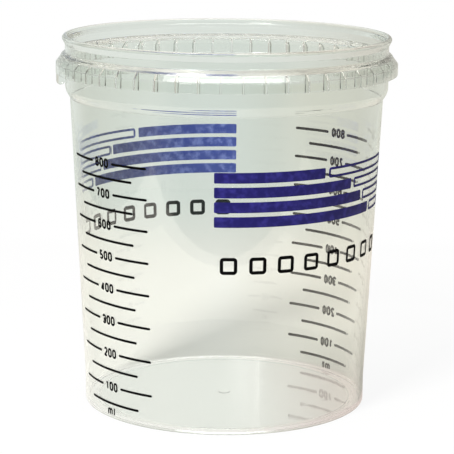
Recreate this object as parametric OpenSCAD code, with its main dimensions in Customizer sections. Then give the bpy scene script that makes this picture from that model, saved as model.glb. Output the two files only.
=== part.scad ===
// Clear resin mixing cup: one thin moulding with a ribbed collar, printed with two
// measuring scales, two mixing-ratio charts and two rows of tick boxes.
// Millimetres. The origin is the middle of the foot, +Z is up and the lug is towards -X.

/* [Body] */
// Height from the table to the top of the rim
height = 133.8; // [126:0.2:145]
// Outer diameter of the foot and of the upright heel above it
foot_d = 102.4; // [98:0.1:106]
// Height of the upright heel, where the tapered wall starts
heel_h = 8.8; // [4:0.1:12]
// Thickness of the wall
wall_t = 0.9; // [0.7:0.05:1.2]
// Thickness of the floor
floor_t = 0.9; // [0.7:0.05:1.6]
// Radius of the round between floor and wall inside
floor_round = 2.5; // [1:0.1:4]

/* [Base panel] */
// Width of the ring that the cup stands on
foot_ring_w = 5.2; // [3:0.1:8]
// How far the panel inside the foot ring is lifted off the table
panel_lift = 0.6; // [0.3:0.1:1.2]
// Diameter of the small round gate mark under the panel
gate_d = 4; // [2:0.5:8]
// How far the gate mark stands down from the panel
gate_drop = 0.2; // [0.1:0.05:0.3]

/* [Shoulder and rim] */
// Outer diameter of the straight neck above the shoulder
neck_d = 116; // [112:0.1:120]
// Height of the neck from the start of the shoulder round to the rim's top
neck_h = 19.5; // [17.5:0.1:24]
// How far the neck stands out over the top of the tapered wall
shoulder_step = 1.75; // [1.2:0.05:2.2]
// Radius of the shoulder round
shoulder_round = 2.9; // [2.4:0.1:3.5]
// Radius of the round bead along the rim
bead_r = 1.0; // [0.8:0.05:1.3]
// Depth of the sloping underside of the bead, from the bead's middle
bead_slope_h = 2.2; // [1.6:0.1:2.8]

/* [Collar] */
// How far the collar stands out from the neck
collar_reach = 3.3; // [2.8:0.1:4.5]
// Distance from the rim's top down to the collar's root
collar_drop = 5.8; // [5.2:0.1:7.5]
// Height of the sloping top of the collar
collar_slope_h = 3.8; // [3:0.1:4.6]
// Height of the upright lip of the collar
lip_h = 3.8; // [2.6:0.1:4.6]
// Thickness of the lip and of the sloping top
lip_t = 0.8; // [0.6:0.05:1]
// Size of the small step halfway down the sloping top
slope_step = 0.35; // [0.1:0.05:0.5]
// Number of ribs inside the collar
rib_count = 50; // [24:2:60]
// Thickness of a rib
rib_t = 0.8; // [0.6:0.05:1.2]
// How far the lug hangs below the lip
lug_drop = 4.9; // [3:0.1:5.5]
// Space between the lug's edge and the lip's outer face
lug_inset = 0.1; // [0:0.05:0.3]
// Thickness of the lug
lug_t = 1.2; // [0.8:0.1:2]

/* [Measuring scales] */
// Height of the lowest mark above the table
first_mark_z = 5.66; // [5:0.02:8]
// Millilitres between neighbouring marks
mark_step = 50; // [50]
// Millilitres at the highest mark
scale_max = 800; // [400:100:800]
// Angle that the print is turned from the lug's side
print_turn = 38.85; // [30:0.05:60]
// Length of a long mark, half way up the wall, with the number's gap
long_mark_w = 41; // [34:0.5:44]
// Length of a short mark, half way up the wall
short_mark_w = 28.9; // [18:0.1:32]
// Gap for the number in a long mark
number_gap_w = 10.6; // [9.5:0.1:13]
// Thickness of a printed line
mark_t = 0.7; // [0.4:0.05:0.9]
// Height of a number
digit_h = 3.0; // [2.6:0.1:3.4]
// Width of a number's digit
digit_w = 2.05; // [1.7:0.05:2.3]
// Space between two digits
digit_gap = 0.4; // [0.3:0.02:0.6]
// Width of a digit's stroke
stroke = 0.64; // [0.4:0.02:0.7]
// Height of the unit's tall letter
unit_h = 2.2; // [1.6:0.1:2.4]
// Space between the lowest mark and the unit under it
unit_gap = 1.8; // [1:0.1:2]
// Thickness of the ink on the wall
ink_t = 0.12; // [0.06:0.02:0.2]
// Clearance between the curved faces of wall and ink
ink_gap = 0.08; // [0:0.01:0.1]

/* [Ratio charts and tick boxes] */
// Length of a chart, half way up the wall
chart_w = 80.6; // [64:0.2:82]
// Distance from the shoulder down to the top of a chart
chart_drop = 18.5; // [14:0.1:30]
// Height of a chart's bar
bar_h = 3.7; // [2.6:0.1:4.2]
// Space between two bars
bar_gap = 1.4; // [1:0.1:2]
// Thickness of the outline round the second part of a bar
outline_t = 0.9; // [0.5:0.1:1.2]
// Gap between the two parts of a bar
split_w = 1.5; // [1:0.1:3]
// Distance from the chart's bottom down to the tick boxes
box_drop = 10.5; // [6:0.1:14]
// Height and width of a tick box
box_size = 6.0; // [4:0.1:7]
// Number of tick boxes in a row
box_count = 8; // [4:1:9]
// Thickness of a tick box's line
box_line = 1.2; // [0.5:0.1:1.6]

/* [Hidden] */
$fn = 180;

clear_plastic = [0.86, 0.89, 0.88, 0.45];
black_ink = [0.07, 0.07, 0.08];
blue_ink = [0.2, 0.16, 0.6];
// How far joined shapes of the moulding reach into each other
sink = 0.2;
// Least space between the ink and the shoulder
ink_margin = 1.5;

// Outer wall: upright up to the heel's height, then tapered up to the shoulder
foot_r = foot_d / 2;
neck_r = neck_d / 2;
top_r = neck_r - shoulder_step;
neck_z = height - neck_h;
round_x = neck_r - shoulder_round;
shoulder_z = neck_z - sqrt(pow(shoulder_round, 2) - pow(shoulder_round - shoulder_step, 2));
taper = (top_r - foot_r) / (shoulder_z - heel_h);
function taper_r(z) = foot_r + taper * (z - heel_h);
function wall_r(z) = z < heel_h ? foot_r : taper_r(z);
function inside_r(z) = taper_r(z) - wall_t;

// Centre of the round between floor and wall, and where that round meets the wall
lean = sqrt(1 + taper * taper);
round_z = floor_t + floor_round;
round_r = inside_r(round_z) - floor_round * lean;
round_end = [round_r + floor_round / lean, round_z - floor_round * taper / lean];
panel_r = foot_r - foot_ring_w;

bead_z = height - bead_r;
bead_tangent_a = acos(bead_r / bead_slope_h);
collar_r = neck_r + collar_reach;
collar_root_z = height - collar_drop;
lip_top_z = collar_root_z - collar_slope_h;
lip_z = lip_top_z - lip_h;
rib_pitch = 360 / rib_count;
rib_turn = rib_pitch / 4;
lug_a = rib_turn + rib_pitch * round((180 - rib_turn) / rib_pitch);
lug_r = (collar_reach - lug_inset) / 2;
lug_z = lip_z - lug_drop + lug_r;

// Every step between two marks holds mark_step millilitres of the tapered inside
mark_count = scale_max / mark_step;
mm3_in_ml = 1000;
first_cube = pow(inside_r(first_mark_z), 3);
function mark_z(n) =
  (pow(first_cube + 3 * taper * n * mark_step * mm3_in_ml / PI, 1 / 3) - inside_r(0)) / taper;
ink_top_z = shoulder_z - ink_margin;
unit_z = first_mark_z - mark_t / 2 - unit_gap - unit_h;

// A printed length, measured half way up the wall, as an angle
print_r = (foot_r + top_r) / 2;
function span(w) = w / print_r * 180 / PI;
front_scale_a = print_turn + 180;
front_chart_a = print_turn + 270;

chart_top_z = shoulder_z - chart_drop;
bar_ratios = [1, 2, 3, 5];
bar_pitch = bar_h + bar_gap;
chart_bottom_z = chart_top_z - len(bar_ratios) * bar_pitch + bar_gap;
box_top_z = chart_bottom_z - box_drop;
box_pitch = chart_w / box_count;

// The cup: one moulding

// Everything inside the outer skin, as half of a section
module outer_section() {
  difference() {
    union() {
      polygon([
        [0, 0], [foot_r, 0], [foot_r, heel_h],
        [taper_r(neck_z), neck_z], [0, neck_z]
      ]);
      translate([0, neck_z - shoulder_round]) square([round_x, shoulder_round]);
      translate([round_x, neck_z]) circle(shoulder_round);
      translate([0, neck_z]) square([neck_r, bead_z - neck_z]);
      translate([neck_r, bead_z]) circle(bead_r);
      polygon([
        [neck_r - sink, bead_z], [neck_r - sink, bead_z - bead_slope_h],
        [neck_r, bead_z - bead_slope_h],
        [neck_r + bead_r * sin(bead_tangent_a), bead_z - bead_r * cos(bead_tangent_a)],
        [neck_r, bead_z]
      ]);
    }
    square([panel_r, panel_lift]);
  }
}

// The hollow, as half of a section: it runs out past the rim
module inner_section() {
  difference() {
    union() {
      polygon([
        [0, floor_t], [round_r, floor_t], round_end,
        [inside_r(neck_z), neck_z], [0, neck_z]
      ]);
      translate([round_r, round_z]) circle(floor_round);
      translate([0, neck_z - shoulder_round + wall_t])
        square([round_x, shoulder_round - wall_t]);
      translate([round_x, neck_z]) circle(shoulder_round - wall_t);
      translate([0, neck_z]) square([neck_r - wall_t, neck_h + 1]);
    }
    square([panel_r + floor_t, floor_t + panel_lift]);
  }
}

// Sloping top with a small step in it, and the upright lip
module collar_section() {
  mid_r = (neck_r + collar_r) / 2;
  mid_z = collar_root_z - collar_slope_h / 2;
  polygon([
    [neck_r - sink, collar_root_z],
    [neck_r, collar_root_z],
    [mid_r - slope_step, mid_z + 2.5 * slope_step],
    [mid_r, mid_z + slope_step / 2],
    [collar_r, lip_top_z],
    [collar_r, lip_z],
    [collar_r - lip_t, lip_z],
    [collar_r - lip_t, lip_top_z - lip_t / 2],
    [neck_r, collar_root_z - 2 * lip_t],
    [neck_r - sink, collar_root_z - 2 * lip_t]
  ]);
}

// A rib fills the collar from the wall to the lip
module rib() {
  rotate([90, 0, 0])
    translate([0, 0, -rib_t / 2])
      linear_extrude(rib_t)
        polygon([
          [neck_r - sink, lip_z], [collar_r - lip_t + sink, lip_z],
          [collar_r - lip_t + sink, lip_top_z - lip_t / 2],
          [neck_r - sink, collar_root_z - 2 * lip_t + sink]
        ]);
}

// A flat lug with a round end, hanging in line with a rib
module lug() {
  rotate([90, 0, 0])
    translate([0, 0, -lug_t / 2])
      linear_extrude(lug_t) {
        translate([neck_r - sink, lug_z]) square([2 * lug_r + sink, lip_z + sink - lug_z]);
        translate([neck_r + lug_r, lug_z]) circle(lug_r, $fn = 48);
      }
}

module cup() {
  color(clear_plastic) {
    difference() {
      rotate_extrude() outer_section();
      rotate_extrude() inner_section();
    }
    rotate_extrude() collar_section();
    for (i = [0 : rib_count - 1]) rotate([0, 0, rib_turn + i * rib_pitch]) rib();
    rotate([0, 0, lug_a]) lug();
    translate([0, 0, panel_lift - gate_drop]) cylinder(d = gate_d, h = floor_t / 2, $fn = 48);
  }
}

// Printed bands that lie on the wall

// Part of a ring from angle a0 to a1 and from height z0 to z1, as far out from the
// wall as under and over say: a film of ink where neither is given
module band(a0, a1, z0, z1, under = ink_gap, over = ink_gap + ink_t) {
  rotate([0, 0, a0])
    rotate_extrude(angle = a1 - a0)
      polygon([
        [wall_r(z0) + under, z0], [wall_r(z0) + over, z0],
        [wall_r(z1) + over, z1], [wall_r(z1) + under, z1]
      ]);
}

// The same with its middle cut out, so that a line of thickness t is left
module outline_band(a0, a1, z0, z1, t) {
  difference() {
    band(a0, a1, z0, z1);
    band(a0 + span(t), a1 - span(t), z0 + t, z1 - t, 0, 2 * (ink_gap + ink_t));
  }
}

// Measuring scales

// Every second mark is long and has a number in its gap
module scale_marks(middle_a) {
  long_a = span(long_mark_w) / 2;
  short_a = span(short_mark_w) / 2;
  gap_a = span(number_gap_w) / 2;
  color(black_ink)
    for (n = [0 : mark_count - 1])
      if (mark_z(n) < ink_top_z) {
        z0 = mark_z(n) - mark_t / 2;
        z1 = mark_z(n) + mark_t / 2;
        if (n % 2 == 1) {
          band(middle_a - long_a, middle_a - gap_a, z0, z1);
          band(middle_a + gap_a, middle_a + long_a, z0, z1);
        } else {
          band(middle_a - short_a, middle_a + short_a, z0, z1);
        }
      }
}

// Part of a ring drawn flat, from angle a0 to a1, with its stroke inside radius r
module arc(x, y, r, a0, a1, t = stroke) {
  reach = 2 * r;
  turn = (a1 - a0) / 4;
  translate([x, y])
    intersection() {
      difference() {
        circle(r, $fn = 32);
        circle(r - t, $fn = 32);
      }
      polygon(concat([[0, 0]],
        [for (i = [0 : 4]) reach * [cos(a0 + i * turn), sin(a0 + i * turn)]]));
    }
}

// A closed ring drawn flat
module ring(x, y, r) {
  arc(x, y, r, 0, 180);
  arc(x, y, r, 180, 360);
}

module bar(x0, y0, x1, y1) {
  translate([x0, y0]) square([x1 - x0, y1 - y0]);
}

// A sloping stroke from [x0, y0] to [x1, y1], as wide along x as across says
module slope(x0, y0, x1, y1, across) {
  polygon([[x0, y0], [x0 + across, y0], [x1 + across, y1], [x1, y1]]);
}

// One digit, drawn flat with its lower left corner at the origin
module digit(value) {
  half = digit_w / 2;
  top = digit_h - half;
  high_r = (digit_h + stroke) / 2 - half;
  high_y = digit_h - high_r;
  post = 0.6 * digit_w;
  arm_y = digit_h / 4;
  if (value == 0) {
    arc(half, half, half, 180, 360);
    arc(half, top, half, 0, 180);
    bar(0, half, stroke, top);
    bar(digit_w - stroke, half, digit_w, top);
  }
  if (value == 1) {
    bar(half, 0, half + stroke, digit_h);
    slope(half - 1.3 * stroke, digit_h - 1.8 * stroke, half, digit_h - 0.8 * stroke, stroke);
  }
  if (value == 2) {
    end = [cos(-42), sin(-42)];
    arc(half, top, half, -48, 165);
    polygon([
      [0, stroke / 2], [1.7 * stroke, stroke / 2], [half, top] + (half - 0.1 * stroke) * end,
      [half, top] + (half - 0.9 * stroke) * end, [0, 1.1 * stroke]
    ]);
    bar(0, 0, digit_w, stroke);
  }
  if (value == 3) {
    arc(half, high_y, high_r, -90, 160);
    arc(half, half, half, -160, 90);
  }
  if (value == 4) {
    bar(post, 0, post + stroke, digit_h);
    bar(0, arm_y, digit_w, arm_y + stroke);
    slope(0, arm_y + stroke, post - stroke / 4, digit_h, 1.25 * stroke);
  }
  if (value == 5) {
    bar(stroke / 2, digit_h - stroke, digit_w - stroke / 2, digit_h);
    bar(stroke / 2, 1.5 * half, 1.5 * stroke, digit_h);
    arc(half, half, half, -160, 140);
  }
  if (value == 6) six();
  if (value == 7) {
    bar(0, digit_h - stroke, digit_w, digit_h);
    slope(stroke, 0, digit_w - 1.2 * stroke, digit_h, 1.2 * stroke);
  }
  if (value == 8) {
    ring(half, high_y, high_r);
    ring(half, half, half);
  }
  if (value == 9) translate([digit_w, digit_h]) rotate(180) six();
}

module six() {
  half = digit_w / 2;
  ring(half, half, half);
  arc(half, digit_h - half, half, 25, 180);
  bar(0, half, stroke, digit_h - half);
}

// The digits of a number, drawn flat and centred on the origin
module number(value) {
  places = len(str(value));
  pitch = digit_w + digit_gap;
  for (i = [0 : places - 1])
    translate([(places / 2 - 1 - i) * pitch + digit_gap / 2, -digit_h / 2])
      digit(floor(value / pow(10, i)) % 10);
}

// The unit, ml, drawn flat above the x axis and centred on the y axis
module unit() {
  thin = 0.6 * stroke;
  arch_r = 0.26 * unit_h;
  low_h = 0.68 * unit_h;
  step = 2 * arch_r - thin;
  letter_gap = 2 * thin;
  start = -(2 * step + 2 * thin + letter_gap) / 2;
  for (i = [0 : 2]) {
    x = start + i * step;
    bar(x, 0, x + thin, i == 0 ? low_h : low_h - arch_r);
    if (i < 2) arc(x + arch_r, low_h - arch_r, arch_r, 0, 180, thin);
  }
  tall_x = start + 2 * step + thin + letter_gap;
  bar(tall_x, 0, tall_x + thin, unit_h);
}

// Ink where a flat drawing, facing outwards at angle middle_a, meets the wall
module on_wall(middle_a) {
  low_z = unit_z / 2;
  under = ink_gap;
  over = ink_gap + ink_t;
  rotate([0, 0, middle_a])
    intersection() {
      rotate([90, 0, 90])
        translate([0, 0, foot_r / 2]) linear_extrude(neck_r) children();
      rotate([0, 0, -span(number_gap_w)])
        rotate_extrude(angle = 2 * span(number_gap_w))
          polygon([
            [foot_r + under, low_z], [foot_r + over, low_z],
            [foot_r + over, heel_h], [top_r + over, shoulder_z],
            [top_r + under, shoulder_z], [foot_r + under, heel_h]
          ]);
    }
}

module scale_numbers(middle_a) {
  color(black_ink)
    on_wall(middle_a) {
      for (n = [1 : 2 : mark_count - 1])
        if (mark_z(n) < ink_top_z)
          translate([0, mark_z(n)]) number((n + 1) * mark_step);
      translate([0, unit_z]) unit();
    }
}

// Ratio charts: each bar is one whole, split into a filled part and an outlined part
module ratio_chart(middle_a) {
  chart_a = span(chart_w);
  split_a = span(split_w);
  left_a = middle_a - chart_a / 2;
  right_a = middle_a + chart_a / 2;
  color(blue_ink)
    for (i = [0 : len(bar_ratios) - 1]) {
      z1 = chart_top_z - i * bar_pitch;
      z0 = z1 - bar_h;
      part = bar_ratios[i] / (bar_ratios[i] + 1);
      filled_a = left_a + (chart_a - split_a) * part;
      band(left_a, filled_a, z0, z1);
      outline_band(filled_a + split_a, right_a, z0, z1, outline_t);
    }
}

// A row of square boxes to tick, one for each time that the cup is used
module tick_boxes(middle_a) {
  box_a = span(box_size);
  color(black_ink)
    for (i = [0 : box_count - 1]) {
      a = middle_a + (i - (box_count - 1) / 2) * span(box_pitch);
      outline_band(a - box_a / 2, a + box_a / 2, box_top_z - box_size, box_top_z, box_line);
    }
}

cup();
scale_marks(front_scale_a);  // scale_marks_front
scale_marks(front_scale_a - 180);  // scale_marks_back
scale_numbers(front_scale_a);  // scale_numbers_front
scale_numbers(front_scale_a - 180);  // scale_numbers_back
ratio_chart(front_chart_a);  // ratio_chart_front
ratio_chart(front_chart_a - 180);  // ratio_chart_back
tick_boxes(front_chart_a);  // tick_boxes_front
tick_boxes(front_chart_a - 180);  // tick_boxes_back
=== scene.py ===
# %% [markdown]
# # A clear resin mixing cup
#
# The cup is one thin moulding of clear polypropylene with two inks printed on its outside.
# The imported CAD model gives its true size. This lesson dresses it: the moulding gets the small
# rounds and the fused ribs that clear plastic needs to look right, and the ink gets soft round
# line ends. Each cell makes one thing and prints what it made.

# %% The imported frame
from math import cos, pi, radians, sin

import bpy
import numpy as np
from mathutils import Matrix, Vector


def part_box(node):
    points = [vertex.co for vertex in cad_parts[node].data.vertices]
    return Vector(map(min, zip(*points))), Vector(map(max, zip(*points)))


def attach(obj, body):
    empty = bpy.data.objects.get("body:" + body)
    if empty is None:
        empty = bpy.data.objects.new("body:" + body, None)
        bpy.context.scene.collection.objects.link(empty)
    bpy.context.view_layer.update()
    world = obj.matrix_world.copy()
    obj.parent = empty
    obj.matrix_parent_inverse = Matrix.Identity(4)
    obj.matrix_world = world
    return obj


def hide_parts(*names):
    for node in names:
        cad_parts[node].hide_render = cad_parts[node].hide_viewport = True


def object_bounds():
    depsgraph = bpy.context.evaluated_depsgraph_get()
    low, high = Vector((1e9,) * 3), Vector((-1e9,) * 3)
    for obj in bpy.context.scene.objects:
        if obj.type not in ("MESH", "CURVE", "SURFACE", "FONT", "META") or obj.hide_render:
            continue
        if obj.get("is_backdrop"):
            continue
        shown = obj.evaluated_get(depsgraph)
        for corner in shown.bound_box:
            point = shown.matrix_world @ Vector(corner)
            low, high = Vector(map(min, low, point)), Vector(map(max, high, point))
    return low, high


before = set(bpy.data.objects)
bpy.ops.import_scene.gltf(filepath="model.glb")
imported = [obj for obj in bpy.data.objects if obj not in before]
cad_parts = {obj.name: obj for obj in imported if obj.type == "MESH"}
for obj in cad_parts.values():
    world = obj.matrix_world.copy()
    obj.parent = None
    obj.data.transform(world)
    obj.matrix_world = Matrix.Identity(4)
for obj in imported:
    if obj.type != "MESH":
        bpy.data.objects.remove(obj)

cad_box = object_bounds()
mm = 0.001
cup_low, cup_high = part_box("cup")
height = cup_high.z / mm
collar_r = (cup_high.x - cup_low.x) / 2 / mm
print("nodes", sorted(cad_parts))
print(f"the cup is {height:.1f} mm high and {2 * collar_r:.1f} mm across its collar")

# %% [markdown]
# ## The camera
#
# A product picture like this is taken with a long lens, a little above the table, so that the
# rim and the floor show as flat ellipses. The place below was found by fitting the outlines of
# the rim, the collar and the foot. A look-at matrix is built by hand from three directions,
# because it keeps the small roll that a Track To constraint would lose.

# %% Camera
picture_px = 454
focal_px = 2044.2
camera_at = Vector((0.54, -731.2, 212.1)) * mm
camera_aim = Vector((0.54, 0, 63.4)) * mm
camera_roll = radians(0.48)

camera_lens = bpy.data.cameras.new("camera")
camera_lens.sensor_width = 36
camera_lens.lens = camera_lens.sensor_width * focal_px / picture_px
camera = bpy.data.objects.new("camera", camera_lens)
bpy.context.scene.collection.objects.link(camera)
bpy.context.scene.camera = camera

forward = (camera_aim - camera_at).normalized()
level = forward.cross(Vector((0, 0, 1))).normalized()
upright = level.cross(forward)
right = level * cos(camera_roll) + upright * sin(camera_roll)
up = upright * cos(camera_roll) - level * sin(camera_roll)
turn = Matrix((right, up, -forward)).transposed()
camera.matrix_world = Matrix.Translation(camera_at) @ turn.to_4x4()
print(f"lens {camera_lens.lens:.1f} mm, looking down {-forward.z:.3f}")

# %% [markdown]
# ## The section of the moulding
#
# A cup like this is turned about one axis, so its whole shape is in one closed section: under
# the floor, up the outside, over the rim and down the inside. A real mould has no sharp corner,
# and in clear plastic each small round draws a light or a dark line. So the section is written
# as corners with a rounding each, and one function puts the arcs in.

# %% Sizes of the moulding, in millimetres
foot_r = 51.2
heel_h = 8.8
wall = 0.9
panel_r = foot_r - 5.2
panel_lift = 0.6
gate_r = 2
gate_drop = 0.2
neck_r = 58
neck_z = height - 19.5
shoulder_step = 1.75
shoulder_round = 2.9
slope_rise = 2.6
slope_round = 6
top_r = neck_r - shoulder_step
shoulder_z = neck_z - (shoulder_round**2 - (shoulder_round - shoulder_step) ** 2) ** 0.5
taper = (top_r - foot_r) / (shoulder_z - heel_h)
root_z = height - 5.8
lip_top_z = root_z - 3.8
lip_z = lip_top_z - 3.8
lip = 0.8


def wall_r(z):
    """Outer radius of the wall: upright up to the heel's height, then a straight taper."""
    return foot_r + taper * np.maximum(z - heel_h, 0)


# %% A section with rounded corners
def rounded(corners, steps):
    """Points along an outline whose corners are rounded.

    Each row of corners is (r, z, rounding). The arc that replaces a corner touches both of its
    sides: it starts rounding / tan(half the angle) before the corner, its centre is on the
    corner's bisector, and its points are centre + rounding * (cos t * start + sin t * travel).
    """
    places, rounding = corners[:, :2], corners[1:-1, 2:]
    back = places[:-2] - places[1:-1]
    ahead = places[2:] - places[1:-1]
    back /= np.linalg.norm(back, axis=1, keepdims=True)
    ahead /= np.linalg.norm(ahead, axis=1, keepdims=True)
    half = np.arccos(np.clip((back * ahead).sum(1, keepdims=True), -1, 1)) / 2
    bisector = back + ahead
    bisector /= np.linalg.norm(bisector, axis=1, keepdims=True)
    centre = places[1:-1] + bisector * rounding / np.sin(half)
    begin = places[1:-1] + back * rounding / np.tan(half)
    start = (begin - centre) / np.maximum(rounding, 1e-9)
    t = (np.pi - 2 * half)[:, None] * np.linspace(0, 1, steps + 1)[None, :, None]
    arcs = np.cos(t) * start[:, None] - np.sin(t) * back[:, None]
    arcs = centre[:, None] + arcs * rounding[:, None]
    points = np.vstack([places[:1], arcs.reshape(-1, 2), places[-1:]])
    far = np.linalg.norm(np.diff(points, axis=0), axis=1) > 1e-6
    return points[np.append(True, far)]


def braced(points, edge, longest):
    """Adds points to each long straight: one edge away from both ends, and more every longest.

    Blender blends a face's shade from its corners, so these keep a long wall's shade true.
    """
    rows = []
    for a, b in zip(points[:-1], points[1:]):
        length = np.linalg.norm(b - a)
        inner = []
        if length > 3 * edge:
            inner = np.linspace(edge, length - edge, 2 + int(length / longest))
        share = np.concatenate([[0], inner]) / length
        rows.append(a + share[:, None] * (b - a))
    return np.vstack(rows + [points[-1:]])


# %% The section itself
floor_top = wall + panel_lift
slope = np.arctan2(shoulder_step, slope_rise)
inner_z = shoulder_z + wall * np.tan(slope / 2)
inner_r = wall_r(inner_z) - wall
bead_out = neck_r + 1
below_collar = np.array([
    [0, panel_lift - gate_drop, 0],  # gate mark
    [gate_r, panel_lift - gate_drop, 0.1],
    [gate_r, panel_lift, 0.08],
    [panel_r, panel_lift, 0.25],  # lifted panel
    [panel_r, 0, 0.25],
    [foot_r, 0, 0.8],  # foot ring
    [foot_r, heel_h, 8],  # heel
    [top_r, shoulder_z, 0.08],  # shoulder
    [neck_r, shoulder_z + slope_rise, slope_round],
    [neck_r, lip_z, 0],
])
pocket = np.array([
    [neck_r, lip_z, 0],
    [neck_r, root_z - 2 * lip, 0.3],
    [collar_r - lip, lip_top_z - lip / 2, 0.5],
    [collar_r - lip, lip_z, 0],
])
above_collar = np.array([
    [collar_r - lip, lip_z, 0],
    [collar_r, lip_z, 0.22],  # lip
    [collar_r, lip_top_z, 0.3],
    [neck_r + 1.65, root_z - 1.725, 0.25],  # step in the collar's top
    [neck_r + 1.3, root_z - 1.025, 0.25],
    [neck_r, root_z, 0.3],  # neck
    [neck_r, height - 3.2, 0.4],
    [bead_out, height - 1.24, 0.9],  # bead
    [bead_out, height, 0.95],
    [neck_r - wall, height, 0.6],
    [neck_r - wall, inner_z + slope_rise, slope_round - wall],  # inside of the shoulder
    [inner_r, inner_z, 0.08],
    [foot_r - wall, heel_h, 8],
    [foot_r - wall, wall, 1.2],  # floor
    [panel_r + wall + 0.9, wall, 0.5],
    [panel_r + wall, floor_top, 0.5],
    [0, floor_top, 0],
])
brace_edge, brace_longest = 0.25, 14
lower = braced(rounded(below_collar, 4), brace_edge, brace_longest)
hollow = braced(rounded(pocket, 3), brace_edge, brace_longest)
upper = braced(rounded(above_collar, 4), brace_edge, brace_longest)
section = np.vstack([lower[:-1], hollow[:-1], upper])
pocket_rows = np.arange(len(lower) - 1, len(lower) + len(hollow) - 1)
print(f"the section has {len(section)} points, {len(hollow)} of them in the collar's hollow")

# %% [markdown]
# ## Turning the section, with the ribs in it
#
# The ribs inside the collar are the same plastic as the wall. Plates pushed into a turned shell
# would leave faces inside the plastic, and light would bend at them. Here the ribs come out of
# the grid itself: in the columns that belong to a rib, the points that line the collar's hollow
# are drawn down onto its mouth, so the rib's sides are faces between two columns.

# %% Columns round the axis
rib_count = 50
rib_t = 0.5
rib_draft = 0.09
rib_pitch = 2 * pi / rib_count
first_rib = rib_pitch / 4


def rib_columns(open_steps):
    """Angles of all columns, and which of them lie in a rib: two for each rib's flat middle,
    then open_steps + 1 evenly over the gap up to the next rib, a rib_draft away from both."""
    middle_r = (neck_r + collar_r) / 2
    flat = rib_t / 2 / middle_r
    side = flat + rib_draft / middle_r
    gap = np.linspace(side, rib_pitch - side, open_steps + 1)
    one = np.concatenate([[-flat, flat], gap])
    angles = first_rib + rib_pitch * np.arange(rib_count)[:, None] + one
    in_rib = np.tile(np.arange(len(one)) < 2, rib_count)
    return angles.ravel(), in_rib


angles, in_rib = rib_columns(6)
print(f"{len(angles)} columns, {in_rib.sum()} of them in the {rib_count} ribs")


# %% The turned grid
def turned_grid(section, pocket_rows, angles, in_rib):
    """Corner places, four-cornered faces and three-cornered faces of the turned moulding.

    A point is (r cos a, r sin a, z), with r and z from the section. In a rib's columns the
    pocket's rows take even places on the straight line across the hollow's mouth. The two ends
    of the section lie on the axis, and each is one point with a fan of faces round it.
    """
    filled = section.copy()
    ends = section[pocket_rows[[0, -1]]]
    share = np.linspace(0, 1, len(pocket_rows))[:, None]
    filled[pocket_rows] = ends[0] + share * (ends[1] - ends[0])
    r, z = np.where(in_rib[:, None, None], filled, section)[:, 1:-1].transpose(2, 0, 1)
    a = angles[:, None]
    places = np.stack([r * np.cos(a), r * np.sin(a), z], axis=-1).reshape(-1, 3)
    poles = [[0, 0, section[0, 1]], [0, 0, section[-1, 1]]]
    columns, rows = r.shape
    index = np.arange(columns * rows).reshape(columns, rows)
    beside = np.roll(index, -1, axis=0)
    quads = np.stack([index[:, :-1], beside[:, :-1], beside[:, 1:], index[:, 1:]], axis=-1)
    pole = np.full(columns, columns * rows)
    under = np.stack([pole, beside[:, 0], index[:, 0]], axis=-1)
    over = np.stack([pole + 1, index[:, -1], beside[:, -1]], axis=-1)
    return np.vstack([places, poles]), quads.reshape(-1, 4), np.vstack([under, over])


def new_piece(name, places, faces, finish, node, crease=40):
    """A mesh object from corner places in millimetres and faces, with its finish put on. It
    rides on the one body and stands for its CAD node. Edges past crease degrees stay sharp."""
    mesh = bpy.data.meshes.new(name)
    mesh.from_pydata((places * mm).tolist(), [], faces)
    mesh.shade_smooth()
    mesh.set_sharp_from_angle(angle=radians(crease))
    mesh.materials.append(finish)
    piece = bpy.data.objects.new(name, mesh)
    bpy.context.scene.collection.objects.link(piece)
    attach(piece, "root")
    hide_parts(node)
    print(f"{name}: {len(mesh.vertices)} corners, {len(mesh.polygons)} faces")


# %% [markdown]
# ## The lug
#
# One flat tongue hangs under the collar, in line with a rib. It is a thin plate with a round
# end and soft edges: four loops of one outline, the outer two drawn in, with a flat face on each
# side. It stands in the same mesh as the moulding, a hair inside the wall and the lip.

# %% Lug
lug_t = 1.2
lug_edge = 0.3
lug_bury = 0.15
lug_r = (collar_r - 0.1 - neck_r) / 2
lug_low = lip_z - 4.9
lug_turn = first_rib + 25 * rib_pitch


def lug_grid():
    """The lug's outline is half a circle with straight sides up to the lip. Each of the four
    loops is (outline - inset * its normal) at one depth of the plate, and the whole is turned
    to the lug's angle."""
    t = np.linspace(pi, 2 * pi, 17)
    round_end = np.stack([np.cos(t), np.sin(t)], axis=-1)
    normal = np.vstack([[-0.7, 0.7], [-1, 0], round_end, [1, 0], [0.7, 0.7]])
    middle = np.array([neck_r + lug_r, lug_low + lug_r])
    rise = np.full((len(normal), 1), 0.0)
    rise[[0, -1]] = lip_z + lug_bury - middle[1]
    rise[[1, -2]] = lip_z - 1 - middle[1]
    flat = np.vstack([[-1, 0], [-1, 0], round_end, [1, 0], [1, 0]]) * lug_r
    flat = middle + flat + np.hstack([rise * 0, rise])
    flat[:, 0] = np.maximum(flat[:, 0], 0)
    inset = lug_edge * np.array([1, 0.3, 0, 0, 0.3, 1])[:, None, None]
    depth = lug_t / 2 * np.array([-1, -0.83, -0.5, 0.5, 0.83, 1])[:, None]
    loops = flat - inset * normal
    loops[:, :, 0] -= lug_bury * (normal[:, 0] < -0.9)
    r = loops[..., 0]
    side = depth + 0 * r
    z = loops[..., 1]
    x = r * cos(lug_turn) - side * sin(lug_turn)
    y = r * sin(lug_turn) + side * cos(lug_turn)
    places = np.stack([x, y, z], axis=-1).reshape(-1, 3)
    rows, count = r.shape
    index = np.arange(rows * count).reshape(rows, count)
    beside = np.roll(index, -1, axis=1)
    quads = np.stack([index[:-1], index[1:], beside[1:], beside[:-1]], axis=-1)
    return places, quads.reshape(-1, 4), [index[0].tolist(), index[-1, ::-1].tolist()]


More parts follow.
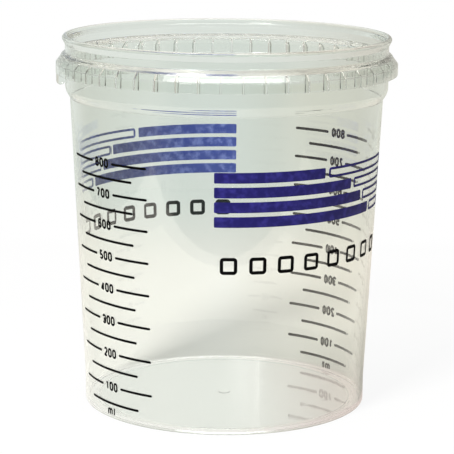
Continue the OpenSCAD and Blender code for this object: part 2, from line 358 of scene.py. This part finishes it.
lug_places, lug_quads, lug_sides = lug_grid()
print(f"the lug has {len(lug_places)} corners")

# %% [markdown]
# ## Clear plastic
#
# Natural polypropylene is clear but a little milky, with a grey-green tint that gathers where
# light runs a long way inside the wall: along the silhouettes, in the rim and in the shoulder. So
# the tint is a volume that absorbs, and not a colour on the surface. A polished mould leaves a
# gloss, which a thin coat adds. The ribbed collar comes out a touch duller than the wall, and
# dullest along its root, while the lug stays clear. A faint, slow bump stands for the flow of the
# plastic in the mould, and a fine one for its grain. Lamps pass the wall through a Transparent
# shader that darkens where the wall is seen edge on, and so does light on its way from one matt
# thing to another. This gives the soft shadow its rings without the noise of true caustics.

# %% Small helpers for shader nodes
def node(tree, kind, **values):
    """Adds one node and sets its properties, or its inputs where the name is an input's."""
    made = tree.nodes.new(kind)
    for name, value in values.items():
        if name in made.inputs:
            made.inputs[name].default_value = value
        else:
            setattr(made, name, value)
    return made


def feed(tree, socket, value):
    """Links another node's output to a socket, or sets the socket to a plain value."""
    if isinstance(value, bpy.types.NodeSocket):
        tree.links.new(value, socket)
    else:
        socket.default_value = (*value, 1) if isinstance(value, tuple) else value


def mixed(tree, share, a, b, blend="MIX"):
    """A colour: a where share is 0, b where it is 1."""
    mix = node(tree, "ShaderNodeMix", data_type="RGBA", blend_type=blend)
    for name, value in (("Factor", share), ("A", a), ("B", b)):
        feed(tree, mix.inputs[name], value)
    return mix.outputs["Result"]


def tinted(tree, colour, share, tint):
    """A colour multiplied by a tint, in part where share is under 1."""
    return mixed(tree, share, colour, tint, "MULTIPLY")


def rising(tree, value, low, high, smooth="SMOOTHSTEP"):
    """A share that goes from 0 to 1 as value goes from low to high."""
    step = node(tree, "ShaderNodeMapRange", interpolation_type=smooth)
    step.inputs["From Min"].default_value = low
    step.inputs["From Max"].default_value = high
    tree.links.new(value, step.inputs["Value"])
    return step.outputs["Result"]


def sums(tree, operation, a, b):
    """One step of arithmetic on two numbers or sockets."""
    step = node(tree, "ShaderNodeMath", operation=operation)
    feed(tree, step.inputs[0], a)
    feed(tree, step.inputs[1], b)
    return step.outputs["Value"]


def band(tree, value, start, full, fade, end):
    """A share that rises from start to full, and falls again from fade to end."""
    return sums(tree, "MULTIPLY", rising(tree, value, start, full), rising(tree, value, end, fade))


def place(tree, kind="Object"):
    """Coordinates split into X, Y and Z: the object's own, in metres, or another kind."""
    split = node(tree, "ShaderNodeSeparateXYZ")
    where = node(tree, "ShaderNodeTexCoord").outputs[kind]
    tree.links.new(where, split.inputs["Vector"])
    return split.outputs


def from_axis(tree):
    """Distance from the object's own upright axis, in metres."""
    flat = node(tree, "ShaderNodeVectorMath", operation="MULTIPLY")
    flat.inputs[1].default_value = (1, 1, 0)
    tree.links.new(node(tree, "ShaderNodeTexCoord").outputs["Object"], flat.inputs[0])
    length = node(tree, "ShaderNodeVectorMath", operation="LENGTH")
    tree.links.new(flat.outputs["Vector"], length.inputs[0])
    return length.outputs["Value"]


def noise(tree, scale, detail=2):
    """Noise in the object's own coordinates; scale is in features a metre."""
    where = node(tree, "ShaderNodeTexCoord").outputs["Object"]
    cloud = node(tree, "ShaderNodeTexNoise", Scale=scale, Detail=detail)
    tree.links.new(where, cloud.inputs["Vector"])
    return cloud.outputs["Fac"]


def bump(tree, height_map, depth, strength, under=None):
    """A normal that is bent by a height map, depth metres deep, over another bump."""
    made = node(tree, "ShaderNodeBump", Strength=strength, Distance=depth)
    tree.links.new(height_map, made.inputs["Height"])
    if under:
        tree.links.new(under, made.inputs["Normal"])
    return made.outputs["Normal"]


def shader_mix(tree, share, a, b):
    """A shader: a where share is 0, b where it is 1."""
    mix = tree.nodes.new("ShaderNodeMixShader")
    feed(tree, mix.inputs[0], share)
    tree.links.new(a, mix.inputs[1])
    tree.links.new(b, mix.inputs[2])
    return mix.outputs["Shader"]


def new_material(name):
    """An empty node material: itself, its tree, and its output node."""
    material = bpy.data.materials.new(name)
    material.use_nodes = True
    material.node_tree.nodes.clear()
    return material, material.node_tree, material.node_tree.nodes.new("ShaderNodeOutputMaterial")


# %% Clear plastic
plastic_index = 1.49
surface_colour = (0.97, 0.985, 0.97)
coat_share, coat_rough = 0.2, 0.04
tint_colour, tint_density = (0.62, 0.66, 0.58), 16
collar_rough, root_rough = 0.015, 0.14
wall_shade, collar_shade, edge_shade = (0.95, 0.955, 0.95), (0.86, 0.87, 0.86), (0.3, 0.32, 0.3)
grain_scale, grain_depth = 900, 0.00001
flow_scale, flow_depth = 55, 0.0003


def clear_plastic():
    """Glass with the index of polypropylene and a gloss coat, an absorbing volume, two bumps,
    and a roughness that varies a little and rises in the collar and along its root. Heights and
    distances from the axis are in the object's own coordinates."""
    material, tree, output = new_material("clear_plastic")
    grain = noise(tree, grain_scale)
    flow = bump(tree, noise(tree, flow_scale), flow_depth, 0.1)
    plastic = node(tree, "ShaderNodeBsdfPrincipled", IOR=plastic_index)
    feed(tree, plastic.inputs["Base Color"], surface_colour)
    plastic.inputs["Transmission Weight"].default_value = 1
    plastic.inputs["Coat Weight"].default_value = coat_share
    plastic.inputs["Coat IOR"].default_value = plastic_index
    plastic.inputs["Coat Roughness"].default_value = coat_rough
    rise = place(tree)["Z"]
    collar = rising(tree, rise, (shoulder_z - 1) * mm, (shoulder_z + 1) * mm)
    lug = rising(tree, from_axis(tree), (neck_r + 0.2) * mm, (neck_r + 0.6) * mm)
    lug = sums(tree, "MULTIPLY", lug, rising(tree, rise, lip_z * mm, (lip_z - 0.4) * mm))
    frosted = sums(tree, "SUBTRACT", collar, lug)
    root_heights = (root_z - 2.2, root_z - 1.6, root_z, root_z + 0.5)
    root = band(tree, rise, *[z * mm for z in root_heights])
    smooth = rising(tree, grain, -0.3, 60, "LINEAR")
    rough = sums(tree, "ADD", smooth, sums(tree, "MULTIPLY", frosted, collar_rough))
    rough = sums(tree, "ADD", rough, sums(tree, "MULTIPLY", root, root_rough))
    feed(tree, plastic.inputs["Roughness"], rough)
    feed(tree, plastic.inputs["Normal"], bump(tree, grain, grain_depth, 0.03, flow))
    tint = node(tree, "ShaderNodeVolumeAbsorption", Density=tint_density)
    feed(tree, tint.inputs["Color"], tint_colour)
    tree.links.new(tint.outputs["Volume"], output.inputs["Volume"])
    edge = node(tree, "ShaderNodeLayerWeight", Blend=0.35)
    lamp_way = node(tree, "ShaderNodeBsdfTransparent")
    clear = mixed(tree, collar, wall_shade, collar_shade)
    shade = mixed(tree, edge.outputs["Facing"], clear, edge_shade)
    feed(tree, lamp_way.inputs["Color"], shade)
    ray = node(tree, "ShaderNodeLightPath")
    looks = plastic.outputs["BSDF"]
    for kind in ("Is Diffuse Ray", "Is Shadow Ray"):
        looks = shader_mix(tree, ray.outputs[kind], looks, lamp_way.outputs["BSDF"])
    tree.links.new(looks, output.inputs["Surface"])
    return material


# %% Cup
places, quads, fans = turned_grid(section, pocket_rows, angles, in_rib)
shift = len(places)
faces = quads.tolist() + fans.tolist() + (lug_quads + shift).tolist()
faces += [[corner + shift for corner in side] for side in lug_sides]
places = np.vstack([places, lug_places])
new_piece("cup_moulding", places, faces, clear_plastic(), "cup")

# %% [markdown]
# ## Ink on the wall
#
# The print on a cup like this is laid on by pad or screen printing, as a film a few hundredths
# of a millimetre thick with slightly soft ends. Each stroke is drawn flat, on paper, along its
# centre-line: x runs round the wall and z runs up. The film then wraps onto the wall by turning
# x into an angle and adding a small lift to the wall's radius at that height. The lift starts a
# hair inside the wall: ink wets plastic, and an air gap under it would mirror light and make the
# print look pale from within.

# %% Wrapping paper onto the wall
print_r = (foot_r + top_r) / 2
ink_lift = -0.03
ink_t = 0.08
layer_step = 0.006
film_step = 0.9
cap_turns = np.linspace(radians(14), pi / 2, 4)
film_loop = np.array([[-1, 0.4], [-0.8, 1], [0.8, 1], [1, 0.4], [1, 0], [-1, 0]])


def wrapped(x, z, lift, middle):
    """Paper to wall: the angle is middle + x / print_r, the radius is wall_r(z) + lift."""
    a = middle + x / print_r
    r = wall_r(z) + lift
    return np.stack([r * np.cos(a), r * np.sin(a), z], axis=-1)


def film(path, width, rounding, closed, middle, layer):
    """Corner places and faces of one stroke of ink.

    The loop film_loop, a flat film with soft edges, is carried along the path: its first value
    is a share of the stroke's half width, its second a share of the film's thickness. Near an
    open end the half width is width / 2 - rounding + rounding * sin t, at rounding * (1 - cos t)
    from the end, with t from cap_turns, which makes the corners round. Strokes that follow each
    other are given different layers, so that where they cross, no two faces share a place.
    """
    if closed:
        flat, half = path, np.full(len(path), width / 2)
        travel = np.roll(flat, -1, axis=0) - np.roll(flat, 1, axis=0)
    else:
        step = np.linalg.norm(np.diff(path, axis=0), axis=1)
        along = np.concatenate([[0], np.cumsum(step)])
        cap = rounding * (1 - np.cos(cap_turns))
        cap_half = width / 2 - rounding + rounding * np.sin(cap_turns)
        count = 2 + int(along[-1] / film_step) + 2 * (len(path) > 3) * len(path)
        inner = np.linspace(rounding, along[-1] - rounding, count)[1:-1]
        at = np.concatenate([cap, inner, along[-1] - cap[::-1]])
        half = np.concatenate([cap_half, np.full(len(inner), width / 2), cap_half[::-1]])
        flat = np.stack([np.interp(at, along, path[:, i]) for i in (0, 1)], axis=-1)
        travel = np.gradient(flat, axis=0)
    travel = travel / np.linalg.norm(travel, axis=1, keepdims=True)
    across = np.stack([-travel[:, 1], travel[:, 0]], axis=-1)
    spread = flat[:, None] + across[:, None] * (half[:, None] * film_loop[:, 0])[..., None]
    lift = ink_lift + layer_step * layer + ink_t * film_loop[:, 1] + 0 * half[:, None]
    places = wrapped(spread[..., 0], spread[..., 1], lift, middle)
    index = np.arange(lift.size).reshape(lift.shape)
    nearer, further = (index, np.roll(index, -1, axis=0)) if closed else (index[:-1], index[1:])
    quads = np.stack(
        [nearer, further, np.roll(further, -1, axis=1), np.roll(nearer, -1, axis=1)], axis=-1
    )
    ends = [] if closed else [index[0].tolist(), index[-1, ::-1].tolist()]
    return places.reshape(-1, 3), quads.reshape(-1, 4).tolist() + ends


def print_piece(name, strokes, middle, finish):
    """One piece of print from its strokes: (path, width, rounding, closed) each."""
    places, faces, shift = [], [], 0
    for i, (path, width, rounding, closed) in enumerate(strokes):
        some, theirs = film(np.array(path, float), width, rounding, closed, middle, i % 3)
        places.append(some)
        faces += [[corner + shift for corner in face] for face in theirs]
        shift += len(some)
    new_piece(name, np.vstack(places), faces, finish, name)


# %% [markdown]
# ## Ink finishes
#
# The black is a dense, slightly glossy plastic ink, and the blue a deep violet one. Both are
# a little uneven: a slow noise changes their depth and a fine one their gloss, as where the
# screen laid down more or less of it. The far side's blue looks paler than the near one in the
# photograph, so it has an ink of its own here. Its paler colour is painted light, standing in
# for light from behind that shines through the ink film. It shows only through the front wall
# there, so whether the real ink is paler isn't known.

# %% Ink finish
speck_scale, speck_depth = 2400, 0.00002
cloud_scale = 420


def ink(name, thick, thin, index, gloss):
    """An opaque ink of a refractive index: its colour runs from thick to thin by a noise, and
    its roughness varies round gloss by a finer one."""
    material, tree, output = new_material(name)
    speck = noise(tree, speck_scale)
    cover = node(tree, "ShaderNodeBsdfPrincipled", IOR=index)
    depth = rising(tree, noise(tree, cloud_scale, 4), 0.42, 0.72)
    feed(tree, cover.inputs["Base Color"], mixed(tree, depth, thick, thin))
    rough = rising(tree, speck, -gloss * 3, 3 - gloss * 3, "LINEAR")
    feed(tree, cover.inputs["Roughness"], rough)
    feed(tree, cover.inputs["Normal"], bump(tree, speck, speck_depth, 0.3))
    tree.links.new(cover.outputs["BSDF"], output.inputs["Surface"])
    return material


black_ink = ink(
    "black_ink", thick=(0.001, 0.001, 0.001), thin=(0.003, 0.003, 0.004), index=1.15, gloss=0.5
)
blue_ink = ink(
    "blue_ink", thick=(0.008, 0.006, 0.11), thin=(0.025, 0.021, 0.2), index=1.35, gloss=0.45
)
# Painted light: the back's blue is paler, standing in for light from behind shining through the
# ink.
backlit_blue_ink = ink(
    "backlit_blue_ink", thick=(0.06, 0.09, 0.4), thin=(0.2, 0.26, 0.66), index=1.35, gloss=0.5
)
print("inks", [one.name for one in (black_ink, blue_ink, backlit_blue_ink)])

# %% [markdown]
# ## Measuring scales
#
# Each step between two marks holds the same fifty millilitres. The wall is a cone, so the marks
# come closer together towards the top: the volume between two heights is the difference of the
# cubes of the inner radius, over three tapers.

# %% Heights of the marks
first_mark_z = 5.66
mark_step = 50
mark_count = 16
mark_t = 0.88
mm3_in_ml = 1000


def cone_inner_r(z):
    """Inner radius of the tapered wall, continued down to the table."""
    return foot_r + taper * (z - heel_h) - wall


volume = 3 * taper * np.arange(mark_count) * mark_step * mm3_in_ml / pi
mark_z = (np.cbrt(cone_inner_r(first_mark_z) ** 3 + volume) - cone_inner_r(0)) / taper
print("marks at", np.round(mark_z, 1))

# %% [markdown]
# The numbers are drawn as a signwriter would, with a pen of one width along centre-lines made of
# arcs and straights. Only plain digits and the unit of volume are needed.

# %% Pen strokes of the digits
digit_h = 3.5
digit_w = 2.3
digit_gap = 0.28
pen = 0.84
unit_pen, low_h, arch_w = 0.72, 1.95, 1.15
m_feet, l_x, l_h = (-2.05, -0.9), 1.6, 2.6


def bow(x, z, r, a0, a1):
    """An arc of radius r about (x, z), from a0 to a1 degrees, a point about every 15 degrees."""
    a = np.radians(np.linspace(a0, a1, 2 + int(abs(a1 - a0) / 15)))
    return np.stack([x + r * np.cos(a), z + r * np.sin(a)], axis=-1)


def digit(value):
    """Centre-lines of one digit, as (path, closed), about the middle of its foot."""
    a, h = (digit_w - pen) / 2, digit_h - pen
    small = h / 2 - a
    high = h - small
    if value == 0:
        return [(np.vstack([bow(0, h - a, a, 0, 180), bow(0, a, a, 180, 360)]), True)]
    if value == 1:
        return [([(0.15, 0), (0.15, h)], False), ([(0.15, h), (-0.55, h - 0.6)], False)]
    if value == 2:
        crown = bow(0, h - a, a, 165, -45)
        return [(np.vstack([crown, [(-a, 0), (a, 0)]]), False)]
    if value == 3:
        b = (h - 2 * a + 0.55) / 2
        return [(np.vstack([bow(0, h - b, b, 160, -90), bow(0, a, a, 90, -155)]), False)]
    if value == 4:
        post, arm = 0.38, 0.62
        return [([(post, 0), (post, h), (-a, arm), (a + 0.05, arm)], False)]
    if value == 5:
        bowl = bow(0, a, a, 135, -155)
        return [(np.vstack([[(a - 0.15, h), (-a + 0.2, h)], bowl]), False)]
    if value == 6:
        ring = bow(0, a, a, 0, 345)
        return [(ring, True), (np.vstack([bow(0, h - a, a, 30, 180), [(-a, a)]]), False)]
    if value == 7:
        return [([(-a, h), (a, h), (-0.35, 0)], False)]
    return [(bow(0, h - 0.65, 0.65, 0, 345), True), (bow(0, a, a, 0, 345), True)]


def number(value, x, z, weight):
    """Strokes of a whole number, centred on (x, z), with the pen's width times weight."""
    digits = [int(d) for d in str(value)]
    pitch = digit_w + digit_gap
    wide = pen * weight
    strokes = []
    for i, d in enumerate(digits):
        foot = np.array([x + (i - (len(digits) - 1) / 2) * pitch, z - (digit_h - pen) / 2])
        strokes += [(np.array(line) + foot, wide, wide / 2, loop) for line, loop in digit(d)]
    return strokes


def unit(z, weight):
    """Strokes of the unit, ml, standing on z."""
    thin = unit_pen * weight
    r = arch_w / 2
    arches = []
    for x in m_feet:
        top = bow(x + r, z + low_h - r, r, 180, 0)
        arches.append(np.vstack([top, [(x + arch_w, z)]]))
    stems = [[(m_feet[0], z), (m_feet[0], z + low_h)], [(l_x, z), (l_x, z + l_h)]]
    return [(line, thin, thin / 2, False) for line in arches + stems]


# %% [markdown]
# Both sides carry the same print. In the render the front wall washes out the thin lines behind
# it more than in the photograph, so the back's black strokes are drawn a little wider.

# %% Scales on both sides
long_w, short_w, gap_w = 41, 28.9, 10.6
unit_gap, unit_room = 1.2, 2.5
weights = {"front": 1, "back": 1.16}
front_scale = radians(38.85 + 180)
back_scale = front_scale - pi


def mark_strokes(weight):
    """Every second mark is long, with a gap for its number."""
    line = mark_t * weight
    strokes = []
    for n, z in enumerate(mark_z):
        if n % 2:
            pairs = [(-long_w / 2, -gap_w / 2), (gap_w / 2, long_w / 2)]
        else:
            pairs = [(-short_w / 2, short_w / 2)]
        strokes += [([(a, z), (b, z)], line, line / 2, False) for a, b in pairs]
    return strokes


def number_strokes(weight):
    """A number in the gap of every long mark, and the unit under the lowest mark."""
    strokes = unit(first_mark_z - mark_t / 2 - unit_gap - unit_room, weight)
    for n, z in enumerate(mark_z):
        if n % 2:
            strokes += number((n + 1) * mark_step, 0, z, weight)
    return strokes


for side, middle in (("front", front_scale), ("back", back_scale)):
    marks, numbers = mark_strokes(weights[side]), number_strokes(weights[side])
    print_piece("scale_marks_" + side, marks, middle, black_ink)
    print_piece("scale_numbers_" + side, numbers, middle, black_ink)

# %% [markdown]
# ## Ratio charts and tick boxes
#
# The other print helps with mixing: four bars show one whole each, split one to one, two to one,
# three to one and five to one into a filled and an outlined part. Under them is a row of boxes
# to tick, one for each time that the cup is used.

# %% Charts and boxes
chart_w, bar_h, bar_gap, bar_line, split_w = 80.6, 3.7, 1.4, 0.9, 1.5
chart_top = shoulder_z - 18.5
bar_ratios = (1, 2, 3, 5)
chart_bottom = chart_top - len(bar_ratios) * (bar_h + bar_gap) + bar_gap
box_top, box_size, box_line, box_count = chart_bottom - 10.5, 6.0, 1.2, 8
bar_corner = 0.45


def frame_path(x0, z0, x1, z1, corner):
    """A rectangle's outline with round corners, anticlockwise, as a closed path."""
    reach = corner + 0.001
    corners = [
        bow(x1 - reach, z0 + reach, corner, -90, 0), bow(x1 - reach, z1 - reach, corner, 0, 90),
        bow(x0 + reach, z1 - reach, corner, 90, 180), bow(x0 + reach, z0 + reach, corner, 180, 270),
    ]
    sides = []
    for here, ahead in zip(corners, corners[1:] + corners[:1]):
        length = np.linalg.norm(ahead[0] - here[-1])
        share = np.linspace(0, 1, 2 + int(length))[1:-1, None]
        sides += [here, here[-1] + share * (ahead[0] - here[-1])]
    return np.vstack(sides)


def outline(x0, z0, x1, z1, line):
    """A drawn frame whose outer edges are x0, z0, x1 and z1."""
    h = line / 2
    return (frame_path(x0 + h, z0 + h, x1 - h, z1 - h, h + 0.1), line, 0, True)


def chart_strokes():
    """For each ratio a filled bar and an outlined one, which make up the same length."""
    strokes = []
    for i, ratio in enumerate(bar_ratios):
        top = chart_top - i * (bar_h + bar_gap)
        middle = top - bar_h / 2
        split = -chart_w / 2 + (chart_w - split_w) * ratio / (ratio + 1)
        strokes.append(([(-chart_w / 2, middle), (split, middle)], bar_h, bar_corner, False))
        strokes.append(outline(split + split_w, top - bar_h, chart_w / 2, top, bar_line))
    return strokes


def box_strokes(weight):
    """A row of square frames under the chart, evenly over its width."""
    middles = (np.arange(box_count) - (box_count - 1) / 2) * chart_w / box_count
    h, line = box_size / 2, box_line * weight
    return [outline(x - h, box_top - box_size, x + h, box_top, line) for x in middles]


front_chart = front_scale + pi / 2
back_chart = front_chart - pi
for side, middle, blue in (("front", front_chart, blue_ink), ("back", back_chart, backlit_blue_ink)):
    boxes = box_strokes(weights[side])
    print_piece("ratio_chart_" + side, chart_strokes(), middle, blue)
    print_piece("tick_boxes_" + side, boxes, middle, black_ink)

# %% [markdown]
# ## Table and light
#
# The picture's ground is plain white, and yet the light on the cup is soft and ordinary. The
# table and the surroundings show as white to the camera through Light Path, at a strength of
# one, and keep a share of their true shading, so the cup's shadow stays. Seen through the cup
# or mirrored in it, the paper glows with painted shade: the far paper is greyer and cooler than
# the near one, the sides are a little darker, and under the cup's right edge it is darker and
# pinker. The sheet ends a little way in front of the cup, so the front wall mirrors a dim room
# and the print stays dark. All of this is tuned for the camera above. From the side or from
# behind, the end of the sheet shows through the cup as a hard edge.
#
# The key lamp stands in front on the left and throws the shadow that shows through the wall. A
# long card of light overhead shows only as a gleam on the collar and the rim, and a bright patch
# high behind the cup is mirrored in its floor as a streak.

# %% Table
sheet_x = (-0.33, 0.37)
sheet_y = (-0.25, 0.95)
# Painted shade on the paper's glow: a greyer, cooler far paper, darker sides, and a darker, pinker
# patch under the cup's right edge.
near_paper, far_paper_painted_shade = (1, 0.985, 0.94), (0.78, 0.83, 0.79)
left_painted_shade, right_painted_shade, under_edge_painted_shade = (0.93, 0.92, 0.89), (0.92, 0.87, 0.81), (0.86, 0.78, 0.8)
glow_under, glow_near, glow_camera = 0.85, 0.22, 0.9
paper_dim = 0.06


def paper():
    """White paper. Diffuse light gives it its shadow. A glow lifts it for rays that look at it:
    white for the camera, and for mirrored and bent rays a glow with painted shade, warm white near
    the cup and a cooler grey far behind it, darker to the left and right, and darker and pinker
    under the cup's right edge."""
    material, tree, output = new_material("paper")
    where = place(tree)
    behind = rising(tree, where["Y"], 0.2, 0.42)
    under = rising(tree, from_axis(tree), 0.058, 0.05)
    ray = node(tree, "ShaderNodeLightPath")
    # Painted shade: the glow turns grey far behind, darker to the left and right, and darker and
    # pinker under the cup's right edge.
    seen = mixed(tree, behind, near_paper, far_paper_painted_shade)
    seen = tinted(tree, seen, rising(tree, where["X"], -0.03, -0.12), left_painted_shade)
    seen = tinted(tree, seen, rising(tree, where["X"], -0.01, 0.08), right_painted_shade)
    beside = sums(tree, "MULTIPLY", under, rising(tree, where["X"], 0, 0.045))
    seen = tinted(tree, seen, beside, under_edge_painted_shade)
    paint = mixed(tree, ray.outputs["Is Camera Ray"], seen, (1, 1, 1))
    glow = node(tree, "ShaderNodeEmission")
    feed(tree, glow.inputs["Color"], paint)
    sheet = node(tree, "ShaderNodeBsdfDiffuse")
    feed(tree, sheet.inputs["Color"], mixed(tree, paper_dim, paint, (0, 0, 0)))
    near = sums(tree, "MAXIMUM", sums(tree, "MULTIPLY", under, glow_under), glow_near)
    bent = sums(tree, "MAXIMUM", ray.outputs["Is Glossy Ray"], ray.outputs["Is Transmission Ray"])
    bent = sums(tree, "MULTIPLY", bent, sums(tree, "MAXIMUM", behind, near))
    plain = sums(tree, "MAXIMUM", rising(tree, where["Y"], 0.1, 0.3), glow_camera)
    plain = sums(tree, "MULTIPLY", plain, ray.outputs["Is Camera Ray"])
    share = sums(tree, "MAXIMUM", bent, plain)
    looks = shader_mix(tree, share, sheet.outputs["BSDF"], glow.outputs["Emission"])
    tree.links.new(looks, output.inputs["Surface"])
    return material


table_mesh = bpy.data.meshes.new("table")
corners = [(sheet_x[i], sheet_y[k], 0) for i, k in ((0, 0), (1, 0), (1, 1), (0, 1))]
table_mesh.from_pydata(corners, [], [(0, 1, 2, 3)])
table_mesh.materials.append(paper())
table = bpy.data.objects.new("table", table_mesh)
bpy.context.scene.collection.objects.link(table)
table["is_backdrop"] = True
print("table", table.dimensions[:])

# %% Lamps
def soft_lamp(name, at, width, depth, power, colour):
    """An area lamp at a place, with its size in metres and its power in watts, turned to the
    middle of the cup."""
    light = bpy.data.lights.new(name, "AREA")
    light.shape = "RECTANGLE"
    light.size = width
    light.size_y = depth
    light.energy = power
    light.color = colour
    lamp = bpy.data.objects.new(name, light)
    bpy.context.scene.collection.objects.link(lamp)
    lamp.location = at
    aim = Vector((0, 0, height * mm / 2)) - Vector(at)
    lamp.rotation_euler = aim.to_track_quat("-Z", "Y").to_euler()
    return lamp


key = soft_lamp(
    "key_lamp", at=(-0.5, -0.91, 1.06), width=0.34, depth=0.34, power=22, colour=(1, 0.98, 0.95)
)
key.visible_glossy = False
card = soft_lamp(
    "overhead_card", at=(0, -0.27, 1.2), width=1.2, depth=0.66, power=12.5, colour=(1, 1, 1)
)
card.visible_diffuse = False

# %% Surroundings
room_left, room_right = (0.5, 0.52, 0.47), (0.46, 0.42, 0.39)
room_front, room_low = (0.17, 0.21, 0.19), (0.62, 0.66, 0.62)
back_low, back_high, back_tint = (0.79, 0.83, 0.79), (0.75, 0.79, 0.75), (0.84, 0.78, 0.74)
patch_colour, patch_halo = (1.3, 1.3, 1.3), 0.45
even_light = (0.46, 0.47, 0.47)


def surroundings():
    """A world that is white to the camera. Rays that bend or mirror see pale paper behind and
    above the cup, with one bright patch, and a dimmer room on the camera's side that is paler
    low down. Diffuse light is even."""
    world = bpy.data.worlds.new("surroundings")
    world.use_nodes = True
    tree = world.node_tree
    tree.nodes.clear()
    way = place(tree, "Generated")
    sides = mixed(tree, rising(tree, way["X"], -0.6, 0.6), room_left, room_right)
    front = mixed(tree, rising(tree, way["Z"], -0.27, -0.35), room_front, room_low)
    room = mixed(tree, rising(tree, way["Y"], -0.55, -0.85), sides, front)
    over = mixed(tree, rising(tree, way["Z"], -0.03, 0.03), back_low, back_high)
    over = tinted(tree, over, rising(tree, way["X"], 0, 0.12), back_tint)
    halo = sums(tree, "MULTIPLY", band(tree, way["X"], -0.004, 0.012, 0.012, 0.028), patch_halo)
    core = band(tree, way["X"], 0.015, 0.018, 0.018, 0.021)
    patch = sums(tree, "MAXIMUM", halo, core)
    patch = sums(tree, "MULTIPLY", patch, band(tree, way["Z"], 0.23, 0.26, 0.26, 0.32))
    over = mixed(tree, patch, over, patch_colour)
    room = mixed(tree, rising(tree, way["Y"], 0.5, 0.8), room, over)
    ray = node(tree, "ShaderNodeLightPath")
    even = mixed(tree, ray.outputs["Is Diffuse Ray"], room, even_light)
    light = node(tree, "ShaderNodeBackground", Strength=1)
    feed(tree, light.inputs["Color"], mixed(tree, ray.outputs["Is Camera Ray"], even, (1, 1, 1)))
    output = tree.nodes.new("ShaderNodeOutputWorld")
    tree.links.new(light.outputs["Background"], output.inputs["Surface"])
    bpy.context.scene.world = world
    print("world", world.name)


surroundings()
bpy.context.scene.view_settings.view_transform = "Standard"

# %% [markdown]
# ## Enough bounces
#
# A ray that meets the rim or the ends of the collar runs through the plastic many times before
# it is out again. With the usual limit on bounces it would stop inside and leave dark smears.

# %% Bounces
bounces = 32
cycles = bpy.context.scene.cycles
cycles.max_bounces = bounces
cycles.transmission_bounces = bounces
cycles.glossy_bounces = bounces
print("light bounces at most", cycles.max_bounces, "times")

# %% Bounds of the CAD model and of the visual pieces
boxes = {"cad": cad_box, "visual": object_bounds()}
